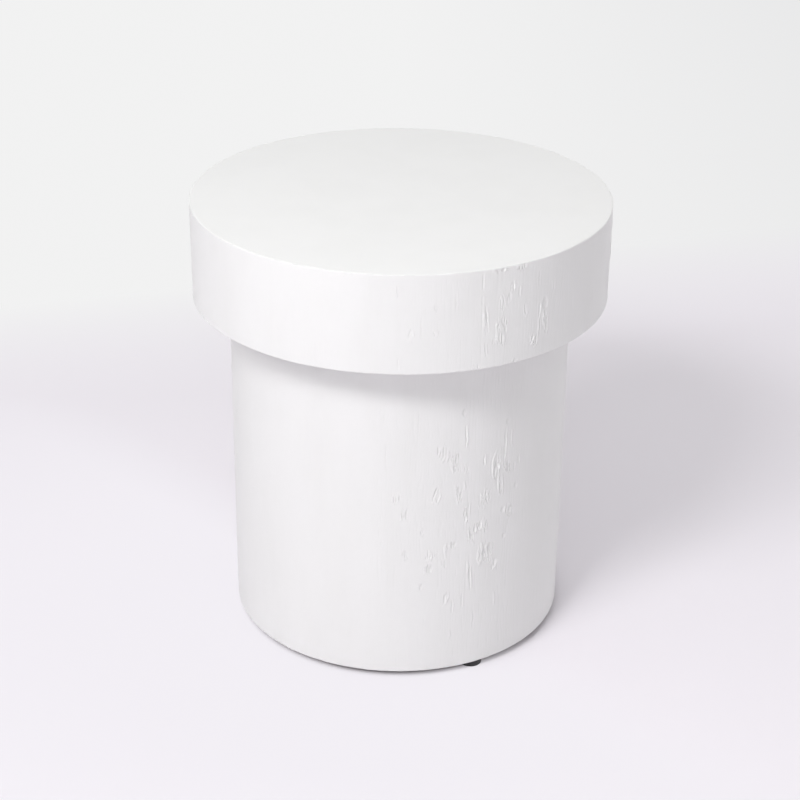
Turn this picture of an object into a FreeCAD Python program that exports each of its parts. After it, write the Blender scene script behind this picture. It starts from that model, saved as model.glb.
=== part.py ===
import FreeCAD, Part
import os
import re

import Sketcher

# Round accent table: a thick hollow disc on a hollow drum, on three levelling feet.
# The origin is on the floor, on the table's axis, with +Z up and the front towards -Y.
# A bearing is an angle from the front towards +X.

# Driving dimensions, in millimetres, degrees and counts
sizes = {
    # The table as a whole
    "top_diameter": 450.0,
    "top_thickness": 106.0,
    "base_diameter": 371.0,
    "overall_height": 491.0,
    "foot_gap": 8.0,
    # Veneer sheets round the rim and the drum, butted at upright seams
    "veneer_thickness": 1.5,
    "veneer_ease": 0.6,
    "veneer_sheets": 3,
    "seam_gap": 0.2,
    "rim_seam_bearing": 21.0,
    "base_seam_bearing": 23.5,
    "glue_line": 0.1,
    # The hollow top
    "top_panel_thickness": 15.0,
    "lower_panel_thickness": 15.0,
    "hoop_wall": 8.0,
    "cross_batten_width": 20.0,
    "cross_batten_end_gap": 0.5,
    "lap_clearance": 0.1,
    # The hollow base
    "base_top_plate_thickness": 18.0,
    "bottom_plate_thickness": 18.0,
    "shell_wall": 7.0,
    "base_batten_count": 3,
    "base_batten_width": 40.0,
    "base_batten_depth": 28.0,
    # Countersunk screws from the plates into the battens
    "screw_length": 50.0,
    "screw_diameter": 5.0,
    "screw_head_diameter": 10.0,
    "screw_key_size": 3.0,
    "screw_key_depth": 2.3,
    "screw_sink": 0.3,
    "screw_clearance": 0.05,
    # Bolts that hold the top on the base, from inside the drum
    "bolt_count": 4,
    "bolt_bearing": 45.0,
    "bolt_circle_diameter": 220.0,
    "bolt_diameter": 8.0,
    "bolt_length": 32.0,
    "bolt_head_diameter": 13.0,
    "bolt_head_height": 8.0,
    "bolt_key_size": 6.0,
    "bolt_key_depth": 4.0,
    "bolt_clearance": 0.5,
    "washer_diameter": 24.0,
    "washer_thickness": 2.0,
    # Threaded inserts, with threads left plain
    "insert_diameter": 12.0,
    "insert_fit": 0.05,
    "thread_clearance": 0.1,
    "joining_insert_length": 14.0,
    "foot_insert_length": 16.0,
    # Levelling feet: a black pad held on the head of a stud that a key turns from below
    "foot_count": 3,
    "foot_bearing": 28.7,
    "foot_inset": 2.0,
    "pad_diameter": 25.0,
    "pad_seat_gap": 0.3,
    "pad_sole": 1.6,
    "pad_top_round": 1.0,
    "pad_sole_round": 0.5,
    "stud_diameter": 8.0,
    "stud_head_diameter": 15.0,
    "stud_head_height": 3.0,
    "stud_end_play": 0.15,
    "stud_side_play": 0.3,
    "stud_cover": 0.5,
    "stud_tip_chamfer": 0.8,
    "key_size": 5.0,
    "key_depth": 3.0,
    "key_hole_diameter": 7.0,
    # How far every cutting shape runs past the piece that it cuts
    "cut_overrun": 1.0,
}

# Radii, heights and angles worked out from the driving dimensions
top_radius = "top_diameter / 2"
base_radius = "base_diameter / 2"
top_core_radius = f"({top_radius} - veneer_thickness - glue_line)"
base_core_radius = f"({base_radius} - veneer_thickness - glue_line)"
hoop_bore_radius = f"({top_core_radius} - hoop_wall)"
shell_bore_radius = f"({base_core_radius} - shell_wall)"

top_underside = "(overall_height - top_thickness)"
hollow_floor = f"({top_underside} + lower_panel_thickness)"
hollow_ceiling = "(overall_height - top_panel_thickness)"
hollow_middle = f"(({hollow_floor} + {hollow_ceiling}) / 2)"
shell_foot = "(foot_gap + bottom_plate_thickness)"
shell_head = f"({top_underside} - base_top_plate_thickness)"

screw_circle = f"({shell_bore_radius} - glue_line - base_batten_depth / 2)"
bolt_circle = "(bolt_circle_diameter / 2)"
bolt_seat = f"({shell_head} - washer_thickness)"
foot_circle = f"({base_radius} - foot_inset - pad_diameter / 2)"
stud_head_foot = "(pad_sole + stud_end_play)"
stud_head_top = f"({stud_head_foot} + stud_head_height)"
pad_top = "(foot_gap - pad_seat_gap)"
batten_bearing = "(foot_bearing + 180 / foot_count)"

insert_radius = "insert_diameter / 2"
insert_hole_radius = f"{insert_radius} + insert_fit"
bolt_radius = "bolt_diameter / 2"
bolt_hole_radius = f"{bolt_radius} + bolt_clearance"

# Where the pieces that repeat round the table's axis stand
screw_place = {"bearing": batten_bearing, "circle": screw_circle, "count": "base_batten_count"}
bolt_place = {"bearing": "bolt_bearing", "circle": bolt_circle, "count": "bolt_count"}
foot_place = {"bearing": "foot_bearing", "circle": foot_circle, "count": "foot_count"}

# How near two lengths must be to count as the same
same = 1e-6

doc = FreeCAD.newDocument("accent_table")
sheet = doc.addObject("Spreadsheet::Sheet", "sizes")
for row, (alias, value) in enumerate(sizes.items(), 1):
    sheet.set(f"A{row}", alias.replace("_", " "))
    sheet.set(f"B{row}", str(value))
    sheet.setAlias(f"B{row}", alias)
doc.recompute()


def cells(text):
    """The text of a formula, with each named size read from the sheet."""
    return re.sub(r"[a-z]\w+", lambda word: f"sizes.{word[0]}" if word[0] in sizes else word[0], text)


def origin_feature(body, role):
    return next(feature for feature in body.Origin.OriginFeatures if feature.Role == role)


def draw(body, plane, points):
    """A closed outline of straight lines on one of the body's planes, its corners bound to the sheet."""
    sketch = body.newObject("Sketcher::SketchObject", f"{body.Name}_outline")
    sketch.AttachmentSupport = [(origin_feature(body, plane), "")]
    sketch.MapMode = "FlatFace"
    corners = [[float(sheet.evalExpression(cells(part))) for part in point] for point in points]
    count = len(corners)
    for i in range(count):
        start = FreeCAD.Vector(*corners[i])
        end = FreeCAD.Vector(*corners[(i + 1) % count])
        sketch.addGeometry(Part.LineSegment(start, end))
    for i in range(count):
        sketch.addConstraint(Sketcher.Constraint("Coincident", i, 2, (i + 1) % count, 1))
    for i in range(count):
        for kind, value, text in zip(("DistanceX", "DistanceY"), corners[i], points[i]):
            index = sketch.addConstraint(Sketcher.Constraint(kind, -1, 1, i, 1, value))
            sketch.setExpression(f"Constraints[{index}]", cells(text))
    return sketch


def turned(label, points, bearing="0", circle="0", count=None, sweep="360"):
    """A turned piece: half its section, as (radius, height) corners, swept round its own upright axis.

    That axis stands on a circle round the table's axis, and count repeats the piece round the circle."""
    body = doc.addObject("PartDesign::Body", label)
    body.Label = label
    sketch = draw(body, "XZ_Plane", points)
    sketch.setExpression(".AttachmentOffset.Base.x", cells(circle))
    solid = body.newObject("PartDesign::Revolution", f"{label}_turning")
    solid.Profile = sketch
    solid.ReferenceAxis = (sketch, ["V_Axis"])
    solid.setExpression("Angle", cells(sweep))
    if count:
        ring = body.newObject("PartDesign::PolarPattern", f"{label}_ring")
        ring.Originals = [solid]
        ring.Axis = (origin_feature(body, "Z_Axis"), [""])
        ring.setExpression("Occurrences", cells(count))
        body.Tip = ring
    body.setExpression(".Placement.Rotation.Angle", cells(f"{bearing} - 90"))
    return body


def disc(label, radius, low, high, **place):
    return turned(label, [("0", low), (radius, low), (radius, high), ("0", high)], **place)


def hoop(label, bore, radius, low, high, **place):
    return turned(label, [(bore, low), (radius, low), (radius, high), (bore, high)], **place)


def board(label, x_low, x_high, y_low, y_high, low, high, bearing="90"):
    """A straight board with square edges, turned to a bearing about the table's axis."""
    body = doc.addObject("PartDesign::Body", label)
    body.Label = label
    sketch = draw(body, "XY_Plane", [(x_low, y_low), (x_high, y_low), (x_high, y_high), (x_low, y_high)])
    sketch.setExpression(".AttachmentOffset.Base.z", cells(low))
    solid = body.newObject("PartDesign::Pad", f"{label}_pad")
    solid.Profile = sketch
    solid.setExpression("Length", cells(f"({high}) - ({low})"))
    body.setExpression(".Placement.Rotation.Angle", cells(f"{bearing} - 90"))
    return body


def keys(label, circle, bearing, count, size, low, high):
    """Six-sided shapes that cut key sockets, one at each place on a circle."""
    prisms = []
    for i in range(count):
        prism = doc.addObject("Part::Prism", f"{label}_{i + 1}")
        angle = f"({bearing} - 90 + {i} * 360 / {count})"
        prism.setExpression("Circumradius", cells(f"{size} / sqrt(3)"))
        prism.setExpression("Height", cells(f"({high}) - ({low})"))
        prism.setExpression(".Placement.Base.x", cells(f"{circle} * cos({angle})"))
        prism.setExpression(".Placement.Base.y", cells(f"{circle} * sin({angle})"))
        prism.setExpression(".Placement.Base.z", cells(low))
        prisms.append(prism)
    return prisms


def cut(label, blank, tools):
    """The blank with each of the tools taken out of it."""
    tool = tools[0]
    if len(tools) > 1:
        tool = doc.addObject("Part::MultiFuse", f"{label}_tools")
        tool.Shapes = tools
    piece = doc.addObject("Part::Cut", label)
    piece.Label = label
    piece.Base = blank
    piece.Tool = tool
    return piece


def rounded(body, rounds):
    """Rounds the body's outer circles: each is (radius of the round, radius of the circle, height)."""
    doc.recompute()
    for number, (round_radius, circle_radius, height) in enumerate(rounds, 1):
        radius, level = (float(sheet.evalExpression(cells(text))) for text in (circle_radius, height))
        names = []
        for index, edge in enumerate(body.Tip.Shape.Edges, 1):
            curve = edge.Curve
            if hasattr(curve, "Radius") and abs(curve.Radius - radius) + abs(curve.Center.z - level) < same:
                names.append(f"Edge{index}")
        base = body.Tip
        fillet = body.newObject("PartDesign::Fillet", f"{body.Name}_round_{number}")
        fillet.Base = (base, names)
        fillet.setExpression("Radius", cells(round_radius))
        body.Tip = fillet
        doc.recompute()


nodes = []


def add(*pieces):
    nodes.extend(pieces)


def veneer(prefix, radius, seam_bearing, section):
    """Sheets of one height that meet at upright seams, named for the side that they cover."""
    sheet_angle = "360 / veneer_sheets"
    seam = f"(seam_gap / ({radius}) * 180 / pi)"
    sides = ("right", "back", "front")
    for i in range(sizes["veneer_sheets"]):
        name = sides[i] if sizes["veneer_sheets"] == len(sides) else str(i + 1)
        start = f"{seam_bearing} + {i} * {sheet_angle} + {seam} / 2"
        add(turned(f"{prefix}_veneer_{name}", section, bearing=start, sweep=f"{sheet_angle} - {seam}"))


def screw(head, way, grow="0"):
    """Half the section of a countersunk screw with its head at a height and its point up (+) or down (-)."""
    head_radius = f"screw_head_diameter / 2 + {grow}"
    shank_radius = f"screw_diameter / 2 + {grow}"
    return [
        ("0", head),
        (head_radius, head),
        (shank_radius, f"{head} {way} (screw_head_diameter - screw_diameter) / 2"),
        (shank_radius, f"{head} {way} (screw_length - screw_diameter)"),
        ("0", f"{head} {way} (screw_length + {grow})"),
    ]


def screws(label, head, way):
    """The screws of one plate, with a key socket in each head."""
    blanks = turned(f"{label}_blanks", screw(head, way), **screw_place)
    below, above = "cut_overrun", "screw_key_depth"
    if way == "-":
        below, above = above, below
    sockets = keys(
        f"{label}_key",
        screw_circle,
        batten_bearing,
        sizes["base_batten_count"],
        "screw_key_size",
        f"({head} - {below})",
        f"({head} + {above})",
    )
    return cut(label, blanks, sockets)


def screw_hole(label, head, face, way):
    """The hole for such a screw, with its countersink carried on to the face that it goes in by."""
    section = screw(head, way, "screw_clearance")
    section[0] = ("0", face)
    section.insert(1, (section[1][0], face))
    return turned(label, section, **screw_place)


# Top: two discs on a bent hoop, held apart by two battens halved into each other
add(disc("top_panel", top_core_radius, hollow_ceiling, "overall_height"))
add(hoop("rim_hoop", hoop_bore_radius, top_core_radius, hollow_floor, hollow_ceiling))

insert_holes = disc(
    "joining_insert_holes",
    insert_hole_radius,
    f"{top_underside} - cut_overrun",
    f"{hollow_floor} + cut_overrun",
    **bolt_place,
)
lower_blank = disc("lower_panel_blank", top_core_radius, top_underside, hollow_floor)
add(cut("lower_panel", lower_blank, [insert_holes]))

half_length = f"({hoop_bore_radius} - cross_batten_end_gap)"
half_width = "cross_batten_width / 2"
half_notch = f"({half_width} + lap_clearance)"
laps = {
    "long": ("90", f"{hollow_middle} - lap_clearance", f"{hollow_ceiling} + cut_overrun"),
    "over": ("180", f"{hollow_floor} - cut_overrun", hollow_middle),
}
for name, (bearing, notch_low, notch_high) in laps.items():
    label = f"cross_batten_{name}"
    ends = (f"-{half_length}", half_length)
    faces = (f"-{half_width}", half_width)
    blank = board(f"{label}_blank", *ends, *faces, hollow_floor, hollow_ceiling, bearing)
    notch_ends = (f"-{half_notch}", half_notch)
    notch_faces = (f"-({half_width} + cut_overrun)", f"{half_width} + cut_overrun")
    notch = board(f"{label}_notch", *notch_ends, *notch_faces, notch_low, notch_high, bearing)
    add(cut(label, blank, [notch]))

rim_bore = f"{top_radius} - veneer_thickness"
veneer("rim", top_radius, "rim_seam_bearing", [
    (rim_bore, top_underside),
    (f"{top_radius} - veneer_ease", top_underside),
    (top_radius, f"{top_underside} + veneer_ease"),
    (top_radius, "overall_height - veneer_ease"),
    (f"{top_radius} - veneer_ease", "overall_height"),
    (rim_bore, "overall_height"),
])

# Base: a bent tube between two plates, with upright battens that the plates are screwed to
add(hoop("base_shell", shell_bore_radius, base_core_radius, shell_foot, shell_head))

bottom_head = "(foot_gap + screw_sink)"
top_head = f"({top_underside} - screw_sink)"
bottom_screw_holes = screw_hole("bottom_screw_holes", bottom_head, "foot_gap - cut_overrun", "+")
top_screw_holes = screw_hole("top_screw_holes", top_head, f"{top_underside} + cut_overrun", "-")
add(screws("bottom_plate_screws", bottom_head, "+"))
add(screws("top_plate_screws", top_head, "-"))

bolt_holes = disc(
    "bolt_holes",
    bolt_hole_radius,
    f"{shell_head} - cut_overrun",
    f"{top_underside} + cut_overrun",
    **bolt_place,
)
top_plate_blank = disc("base_top_plate_blank", base_core_radius, shell_head, top_underside)
add(cut("base_top_plate", top_plate_blank, [bolt_holes, top_screw_holes]))

foot_insert_holes = disc(
    "foot_insert_holes",
    insert_hole_radius,
    "foot_gap - cut_overrun",
    f"{shell_foot} + cut_overrun",
    **foot_place,
)
bottom_plate_blank = disc("base_bottom_plate_blank", base_core_radius, "foot_gap", shell_foot)
add(cut("base_bottom_plate", bottom_plate_blank, [foot_insert_holes, bottom_screw_holes]))

batten_back = f"({shell_bore_radius} - glue_line)"
for i in range(sizes["base_batten_count"]):
    label = f"base_batten_{i + 1}"
    blank = board(
        f"{label}_blank",
        f"{batten_back} - base_batten_depth",
        f"{batten_back} + cut_overrun",
        "-base_batten_width / 2",
        "base_batten_width / 2",
        shell_foot,
        shell_head,
        f"{batten_bearing} + {i} * 360 / base_batten_count",
    )
    fitted = doc.addObject("Part::Common", f"{label}_fitted")
    fitted.Base = blank
    fitted.Tool = disc(f"{label}_bore", batten_back, shell_foot, shell_head)
    add(cut(label, fitted, [bottom_screw_holes, top_screw_holes]))

veneer("base", base_radius, "base_seam_bearing", [
    (f"{base_radius} - veneer_thickness", "foot_gap"),
    (f"{base_radius} - veneer_ease", "foot_gap"),
    (base_radius, "foot_gap + veneer_ease"),
    (base_radius, top_underside),
    (f"{base_radius} - veneer_thickness", top_underside),
])

# Bolts with washers from inside the drum, up into threaded inserts in the top
bolt_head_low = f"({bolt_seat} - bolt_head_height)"
bolt_blanks = turned(
    "joining_bolt_blanks",
    [
        ("0", bolt_head_low),
        ("bolt_head_diameter / 2", bolt_head_low),
        ("bolt_head_diameter / 2", bolt_seat),
        (bolt_radius, bolt_seat),
        (bolt_radius, f"{bolt_seat} + bolt_length"),
        ("0", f"{bolt_seat} + bolt_length"),
    ],
    **bolt_place,
)
bolt_keys = keys(
    "bolt_key",
    bolt_circle,
    "bolt_bearing",
    sizes["bolt_count"],
    "bolt_key_size",
    f"({bolt_head_low} - cut_overrun)",
    f"({bolt_head_low} + bolt_key_depth)",
)
add(cut("joining_bolts", bolt_blanks, bolt_keys))
add(hoop("joining_washers", bolt_hole_radius, "washer_diameter / 2", bolt_seat, shell_head, **bolt_place))
insert_top = f"{top_underside} + joining_insert_length"
bolt_thread = f"{bolt_radius} + thread_clearance"
add(hoop("joining_inserts", bolt_thread, insert_radius, top_underside, insert_top, **bolt_place))

# Levelling feet, each a pad snapped over the head of a stud in a threaded insert
stud_radius = "stud_diameter / 2"
stud_top = f"({shell_foot} - stud_cover)"
stud_thread = f"{stud_radius} + thread_clearance"
insert_end = "foot_gap + foot_insert_length"
add(hoop("foot_inserts", stud_thread, insert_radius, "foot_gap", insert_end, **foot_place))

pad_section = [
    ("key_hole_diameter / 2", "0"),
    ("pad_diameter / 2", "0"),
    ("pad_diameter / 2", pad_top),
    (f"{stud_radius} + stud_side_play", pad_top),
    (f"{stud_radius} + stud_side_play", f"{stud_head_top} + stud_end_play"),
    ("stud_head_diameter / 2 + stud_side_play", f"{stud_head_top} + stud_end_play"),
    ("stud_head_diameter / 2 + stud_side_play", "pad_sole"),
    ("key_hole_diameter / 2", "pad_sole"),
]
stud_section = [
    ("0", stud_head_foot),
    ("stud_head_diameter / 2", stud_head_foot),
    ("stud_head_diameter / 2", stud_head_top),
    (stud_radius, stud_head_top),
    (stud_radius, f"{stud_top} - stud_tip_chamfer"),
    (f"{stud_radius} - stud_tip_chamfer", stud_top),
    ("0", stud_top),
]
pad_rounds = [
    ("pad_top_round", "pad_diameter / 2", pad_top),
    ("pad_sole_round", "pad_diameter / 2", "0"),
]
for i in range(sizes["foot_count"]):
    bearing = f"(foot_bearing + {i} * 360 / foot_count)"
    pad = turned(f"foot_pad_{i + 1}", pad_section, bearing=bearing, circle=foot_circle)
    rounded(pad, pad_rounds)
    stud = turned(f"foot_stud_{i + 1}_blank", stud_section, bearing=bearing, circle=foot_circle)
    socket_low = f"({stud_head_foot} - cut_overrun)"
    socket_high = f"({stud_head_foot} + key_depth)"
    socket = keys(f"foot_key_{i + 1}", foot_circle, bearing, 1, "key_size", socket_low, socket_high)
    add(pad, cut(f"foot_stud_{i + 1}", stud, socket))

doc.recompute()

faults = [item.Label for item in doc.Objects if {"Invalid", "Error"} & set(item.State)]
faults += [piece.Label for piece in nodes if piece.Shape.isNull() or not piece.Shape.isValid()]
if faults:
    raise RuntimeError(f"failed: {', '.join(faults)}")

os.makedirs("parts", exist_ok=True)
for piece in nodes:
    piece.Shape.exportStep(f"parts/{piece.Label}.step")
    print(f"{piece.Label}: {len(piece.Shape.Solids)} solid(s), {piece.Shape.Volume / 1000:.2f} cm3")
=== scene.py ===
import math

import bpy
import numpy as np
from mathutils import Matrix, Vector


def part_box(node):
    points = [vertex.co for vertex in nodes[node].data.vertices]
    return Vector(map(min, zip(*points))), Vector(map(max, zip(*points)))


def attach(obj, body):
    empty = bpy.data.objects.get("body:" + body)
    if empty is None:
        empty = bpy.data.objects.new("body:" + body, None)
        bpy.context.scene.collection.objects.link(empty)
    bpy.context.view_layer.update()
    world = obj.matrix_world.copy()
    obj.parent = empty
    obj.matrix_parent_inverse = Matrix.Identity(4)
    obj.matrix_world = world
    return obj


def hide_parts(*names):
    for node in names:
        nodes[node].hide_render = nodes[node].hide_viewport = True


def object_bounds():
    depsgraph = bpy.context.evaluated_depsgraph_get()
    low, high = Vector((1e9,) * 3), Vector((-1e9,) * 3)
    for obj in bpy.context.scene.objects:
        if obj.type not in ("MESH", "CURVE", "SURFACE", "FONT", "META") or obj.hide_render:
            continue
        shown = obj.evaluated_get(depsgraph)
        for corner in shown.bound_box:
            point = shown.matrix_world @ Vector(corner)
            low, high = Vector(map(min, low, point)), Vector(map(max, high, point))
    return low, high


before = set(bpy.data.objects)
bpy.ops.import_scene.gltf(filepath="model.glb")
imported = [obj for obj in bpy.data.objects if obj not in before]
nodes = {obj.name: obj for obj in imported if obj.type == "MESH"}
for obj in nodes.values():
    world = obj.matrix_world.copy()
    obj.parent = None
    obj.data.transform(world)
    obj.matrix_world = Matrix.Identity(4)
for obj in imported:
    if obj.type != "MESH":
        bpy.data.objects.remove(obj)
cadLow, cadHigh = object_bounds()
mm = 0.001


# small helpers for the node trees of the finishes

def startFinish(name, gloss):
    finish = bpy.data.materials.new(name)
    finish.use_nodes = True
    tree = finish.node_tree
    shader = tree.nodes["Principled BSDF"]
    shader.inputs["Specular IOR Level"].default_value = gloss
    return finish, tree, shader


def feed(tree, socket, source):
    # from another node, or a colour or a value of its own
    if isinstance(source, bpy.types.NodeSocket):
        tree.links.new(source, socket)
    elif isinstance(source, tuple):
        socket.default_value = (*source, 1.0)
    else:
        socket.default_value = source


def objectPlace(tree, squeeze=(1.0, 1.0, 1.0)):
    coords = tree.nodes.new("ShaderNodeTexCoord")
    mapping = tree.nodes.new("ShaderNodeMapping")
    mapping.inputs["Scale"].default_value = squeeze  # below 1 along the way the pattern runs
    tree.links.new(coords.outputs["Object"], mapping.inputs["Vector"])
    return mapping.outputs["Vector"]


def axes(tree, vector):
    node = tree.nodes.new("ShaderNodeSeparateXYZ")
    tree.links.new(vector, node.inputs["Vector"])
    return node.outputs


def cloud(tree, place, size, detail=2.0, rough=0.5):
    noise = tree.nodes.new("ShaderNodeTexNoise")
    noise.inputs["Scale"].default_value = 1000.0 / size  # size of a patch in mm
    noise.inputs["Detail"].default_value = detail
    noise.inputs["Roughness"].default_value = rough
    tree.links.new(place, noise.inputs["Vector"])
    return noise.outputs[0]


def spread(tree, value, low, high, fromLow=0.3, fromHigh=0.7):
    node = tree.nodes.new("ShaderNodeMapRange")
    node.inputs["From Min"].default_value = fromLow
    node.inputs["From Max"].default_value = fromHigh
    node.inputs["To Min"].default_value = low
    node.inputs["To Max"].default_value = high
    tree.links.new(value, node.inputs["Value"])
    return node.outputs["Result"]


def ramp(tree, value, positions, *colours):
    node = tree.nodes.new("ShaderNodeValToRGB")
    points = node.color_ramp.elements
    while len(points) < len(colours):
        points.new(0.5)
    for point, position, colour in zip(points, positions, colours):
        point.position = position
        point.color = (*colour, 1.0)
    tree.links.new(value, node.inputs["Fac"])
    return node.outputs["Color"]


def mixColours(tree, share, first, second):
    node = tree.nodes.new("ShaderNodeMix")
    node.data_type = "RGBA"
    for number, source in ((0, share), (6, first), (7, second)):  # the sockets for colours
        feed(tree, node.inputs[number], source)
    return node.outputs[2]


def calculate(tree, operation, first, second=0.0):
    node = tree.nodes.new("ShaderNodeMath")
    node.operation = operation
    feed(tree, node.inputs[0], first)
    feed(tree, node.inputs[1], second)
    return node.outputs[0]


def roughen(tree, shader, look, patches, streaks=None):
    value = spread(tree, patches, *look["roughness"])
    if streaks:
        value = calculate(tree, "ADD", value, spread(tree, streaks, *look["streaks"]))
    tree.links.new(value, shader.inputs["Roughness"])


def raiseSurface(tree, shader, height, depth, under=None):
    bump = tree.nodes.new("ShaderNodeBump")
    bump.inputs["Strength"].default_value = 1.0
    bump.inputs["Distance"].default_value = depth * mm
    tree.links.new(height, bump.inputs["Height"])
    if under:
        tree.links.new(under, bump.inputs["Normal"])
    tree.links.new(bump.outputs["Normal"], shader.inputs["Normal"])
    return bump.outputs["Normal"]


# white paint over open, torn upright grain, with painted shade in the torn hollows. Sizes and depths are
# in mm here and below.

paintedGrainLook = {
    "face": (0.868, 0.866, 0.862), "thin": (0.852, 0.850, 0.844), "hollowShade": (0.790, 0.787, 0.780),
    "coatStops": (0.32, 0.58), "patchSize": 45.0, "patchFlow": (1.0, 1.0, 0.25),
    "roughness": (0.44, 0.62), "streaks": (-0.04, 0.05), "gloss": 0.42,
    "fibreWidth": 1.1, "fibreFlow": (1.0, 1.0, 0.035), "fibreDepth": 0.022,
    "poreWidth": 0.55, "poreFlow": (1.0, 1.0, 0.07), "poreEdge": (0.56, 0.72), "poreDepth": 0.035,
    "peelSize": 2.2, "peelDepth": 0.012,
}


def makePaintedGrain(look):
    finish, tree, shader = startFinish("painted_grain", look["gloss"])
    fibres = cloud(tree, objectPlace(tree, look["fibreFlow"]), look["fibreWidth"], 3.0, 0.6)
    pores = cloud(tree, objectPlace(tree, look["poreFlow"]), look["poreWidth"], 1.0)
    pores = spread(tree, pores, 1.0, 0.0, *look["poreEdge"])
    peel = cloud(tree, objectPlace(tree), look["peelSize"])
    patches = cloud(tree, objectPlace(tree, look["patchFlow"]), look["patchSize"], 3.0)
    coat = ramp(tree, patches, look["coatStops"], look["thin"], look["face"])
    # painted shade: the paint darkens in the torn hollows, by the share of shade each point carries
    hollowShade = tree.nodes.new("ShaderNodeAttribute")
    hollowShade.attribute_name = "hollowShade"
    colour = mixColours(tree, hollowShade.outputs["Fac"], coat, look["hollowShade"])
    tree.links.new(colour, shader.inputs["Base Color"])
    roughen(tree, shader, look, patches, fibres)
    relief = raiseSurface(tree, shader, fibres, look["fibreDepth"])
    relief = raiseSurface(tree, shader, pores, look["poreDepth"], relief)
    raiseSurface(tree, shader, peel, look["peelDepth"], relief)
    return finish


# satin white paint on smooth board, rolled on

smoothPaintLook = {
    "face": (0.842, 0.840, 0.836), "thin": (0.826, 0.824, 0.819), "coatStops": (0.35, 0.6),
    "roughness": (0.40, 0.54), "streaks": (-0.03, 0.03), "gloss": 0.45, "waveSize": 60.0,
    "rollerWidth": 5.0, "rollerFlow": (0.12, 1.0, 1.0), "peelSize": 2.6, "peelDepth": 0.012,
}


def makeSmoothPaint(look):
    finish, tree, shader = startFinish("smooth_paint", look["gloss"])
    even = objectPlace(tree)
    patches = cloud(tree, even, look["waveSize"], 3.0, 0.55)
    coat = ramp(tree, patches, look["coatStops"], look["thin"], look["face"])
    tree.links.new(coat, shader.inputs["Base Color"])
    roller = cloud(tree, objectPlace(tree, look["rollerFlow"]), look["rollerWidth"], 4.0, 0.6)
    roughen(tree, shader, look, patches, roller)
    raiseSurface(tree, shader, cloud(tree, even, look["peelSize"]), look["peelDepth"])
    return finish


# birch plywood, bare inside and sealed grey underneath: rotary-cut face, plies on the edge

birchPlyLook = {
    "pale": (0.70, 0.54, 0.36), "mid": (0.60, 0.44, 0.27), "dark": (0.44, 0.30, 0.17),
    "glue": (0.20, 0.12, 0.07), "roughness": (0.55, 0.75), "gloss": 0.3,
}
sealedPlyLook = {
    "pale": (0.41, 0.40, 0.385), "mid": (0.36, 0.35, 0.335), "dark": (0.28, 0.27, 0.255),
    "glue": (0.16, 0.15, 0.14), "roughness": (0.5, 0.68), "gloss": 0.35,
}
plyGrain = {
    "bandWidth": 26.0, "bandFlow": (0.08, 1.0, 1.0), "bandStops": (0.3, 0.45, 0.65),
    "fibreWidth": 1.2, "fibreFlow": (0.02, 1.0, 1.0), "fibreShade": 0.35, "fibreDepth": 0.05,
    "plyThickness": 1.5, "plyStops": (0.0, 0.08, 0.5, 0.92), "faceFrom": (0.4, 0.6),
}


def makePly(name, look, grain):
    finish, tree, shader = startFinish(name, look["gloss"])
    glue, dark, mid, pale = look["glue"], look["dark"], look["mid"], look["pale"]
    bands = cloud(tree, objectPlace(tree, grain["bandFlow"]), grain["bandWidth"], 4.0, 0.55)
    fibres = cloud(tree, objectPlace(tree, grain["fibreFlow"]), grain["fibreWidth"], 3.0, 0.6)
    face = ramp(tree, bands, grain["bandStops"], dark, mid, pale)
    face = mixColours(tree, spread(tree, fibres, 0.0, grain["fibreShade"]), face, dark)
    height = axes(tree, objectPlace(tree))["Z"]
    ply = calculate(tree, "FRACT", calculate(tree, "DIVIDE", height, grain["plyThickness"] * mm))
    edge = ramp(tree, ply, grain["plyStops"], glue, mid, pale, mid)
    facing = tree.nodes.new("ShaderNodeNewGeometry")
    upward = calculate(tree, "ABSOLUTE", axes(tree, facing.outputs["True Normal"])["Z"])
    isFace = spread(tree, upward, 0.0, 1.0, *grain["faceFrom"])
    tree.links.new(mixColours(tree, isFace, edge, face), shader.inputs["Base Color"])
    roughen(tree, shader, look, fibres)
    raiseSurface(tree, shader, fibres, grain["fibreDepth"])
    return finish


# bare planed softwood, for the battens

softwoodLook = {
    "early": (0.76, 0.60, 0.40), "late": (0.52, 0.32, 0.15), "ringStops": (0.0, 0.7, 0.95),
    "roughness": (0.5, 0.7), "gloss": 0.3, "figureSize": 20.0, "rings": 14.0,
    "fibreWidth": 1.0, "fibreSqueeze": 0.3, "fibreDepth": 0.06,
}


def makeSoftwood(name, look, squeeze):
    finish, tree, shader = startFinish(name, look["gloss"])
    early, late = look["early"], look["late"]
    figure = cloud(tree, objectPlace(tree, squeeze), look["figureSize"], 3.0)
    rings = calculate(tree, "FRACT", calculate(tree, "MULTIPLY", figure, look["rings"]))
    tree.links.new(ramp(tree, rings, look["ringStops"], early, early, late), shader.inputs["Base Color"])
    finer = tuple(look["fibreSqueeze"] * share for share in squeeze)
    fibres = cloud(tree, objectPlace(tree, finer), look["fibreWidth"], 3.0, 0.6)
    roughen(tree, shader, look, fibres)
    raiseSurface(tree, shader, fibres, look["fibreDepth"])
    return finish


# turned and plated metal, with fine lines left by the lathe tool

turnedMetal = {
    "gloss": 0.5, "patchStops": (0.35, 0.65), "streaks": (-0.05, 0.08),
    "lineWidth": 0.35, "lineFlow": (0.2, 0.2, 1.0), "lineDepth": 0.01,
}
zincLook = {
    **turnedMetal, "dull": (0.60, 0.62, 0.65), "bright": (0.74, 0.74, 0.73),
    "roughness": (0.24, 0.42), "patchSize": 6.0,
}
brassLook = {
    **turnedMetal, "dull": (0.66, 0.47, 0.19), "bright": (0.80, 0.62, 0.30),
    "roughness": (0.20, 0.38), "patchSize": 5.0,
}


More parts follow.
